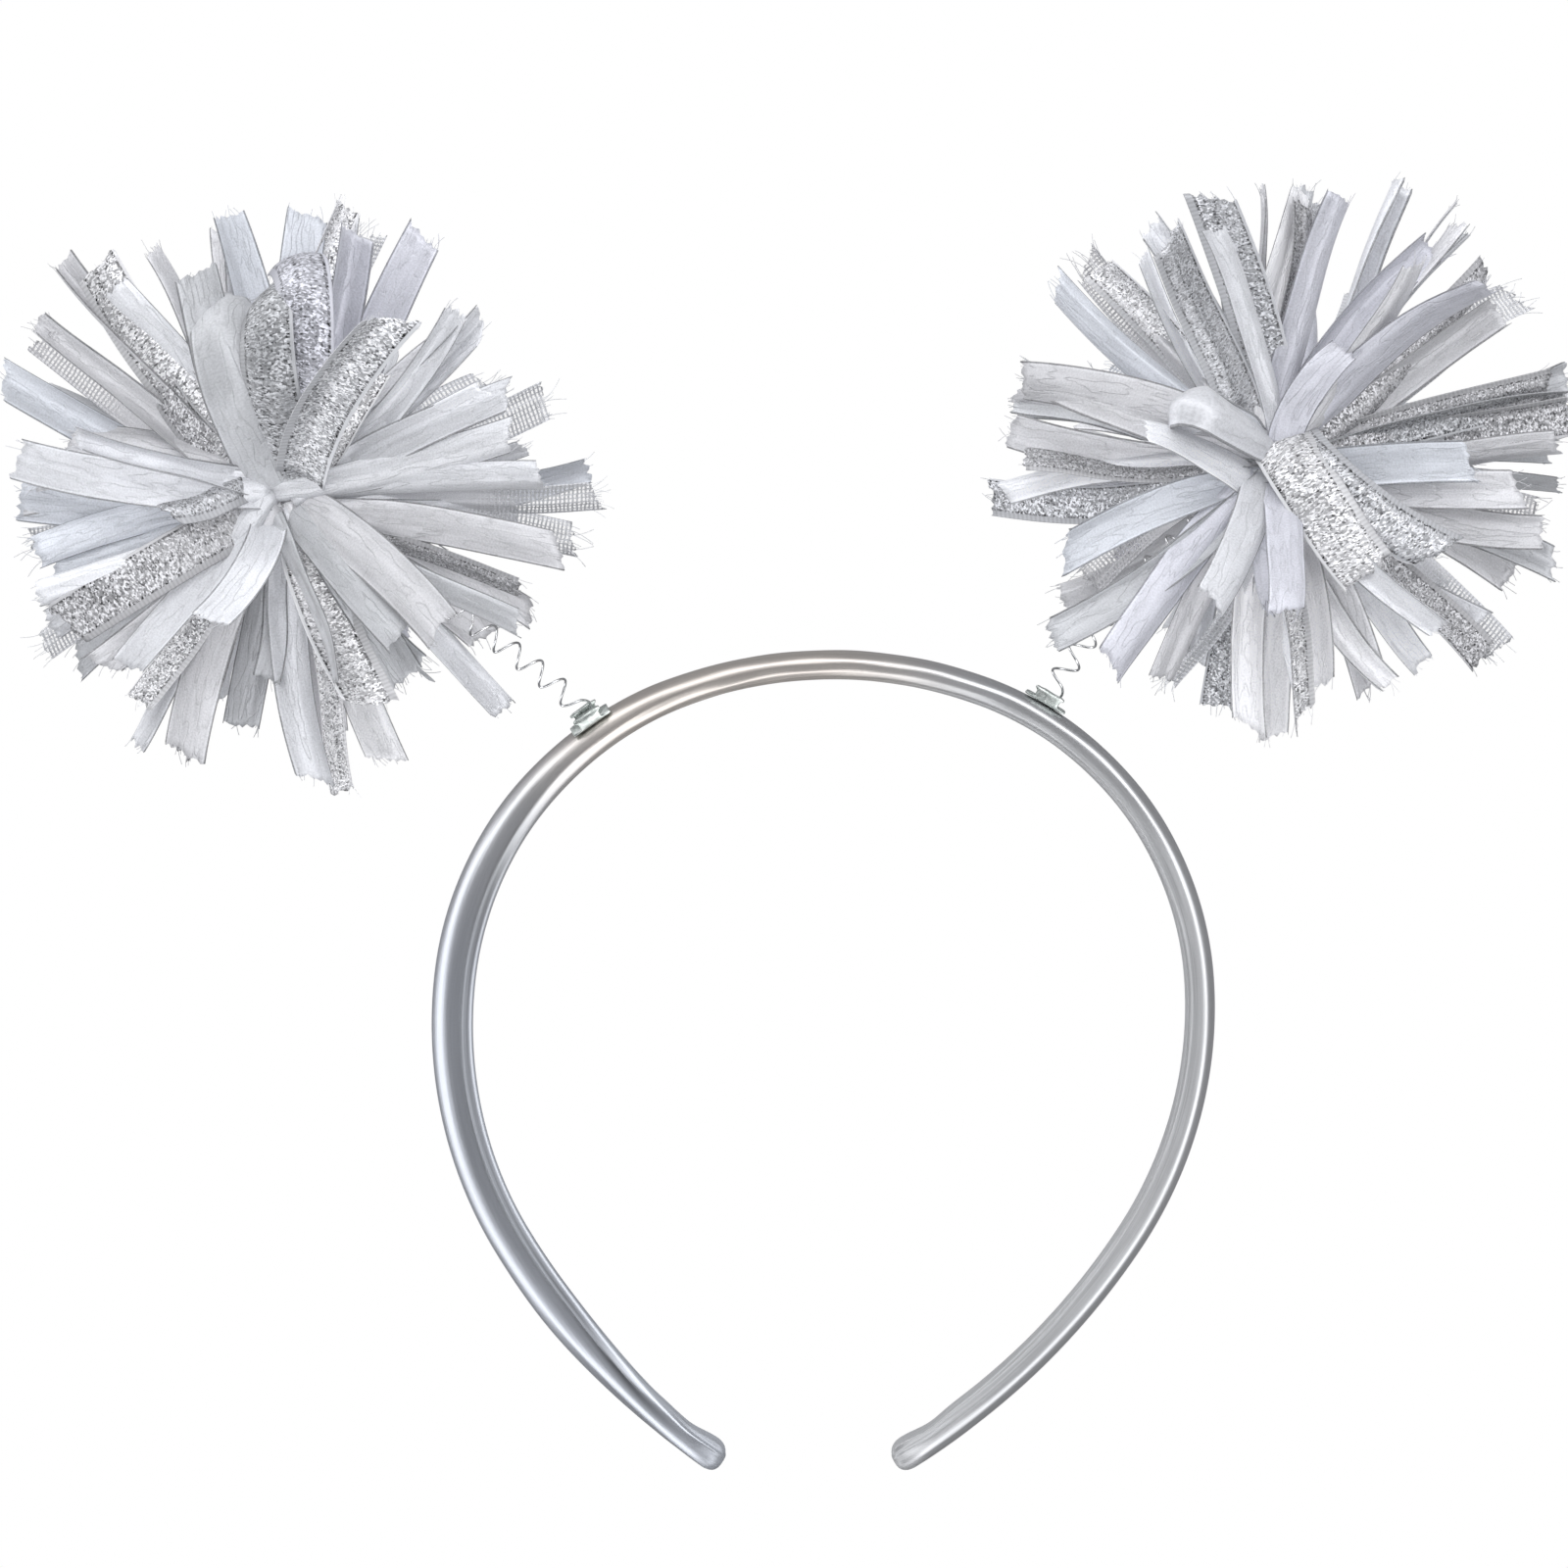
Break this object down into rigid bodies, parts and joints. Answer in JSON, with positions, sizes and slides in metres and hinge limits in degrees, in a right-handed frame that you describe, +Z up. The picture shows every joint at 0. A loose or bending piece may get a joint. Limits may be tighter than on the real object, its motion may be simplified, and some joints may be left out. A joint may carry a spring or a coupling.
{
  "type": "head bopper",
  "caption": "Head bopper: a satin covered headband that carries ribbon pompoms on coil springs, each held by a small pressed clip.",
  "frame": {"origin": "inner face of the band at its crown, where it rests on top of the head", "axes": "+Z up from the crown, +X to the right of the front view, -Y to the front"},
  "size_m": [0.2522, 0.0755, 0.2095],
  "materials": {
    "satin_cover": "silver satin with a bright lengthwise sheen",
    "zinc_clip": "dull grey-green zinc plate",
    "spring_wire": "plain drawn steel wire",
    "ribbon": "pale silver satin ribbon mixed with glitter woven ribbon"
  },
  "bodies": {
    "root": {"headband": "satin_cover", "spring_clip_left": "zinc_clip", "spring_clip_right": "zinc_clip", "spring_left": "spring_wire", "spring_right": "spring_wire", "pompom_left": "ribbon", "pompom_right": "ribbon"}
  },
  "joints": []
}
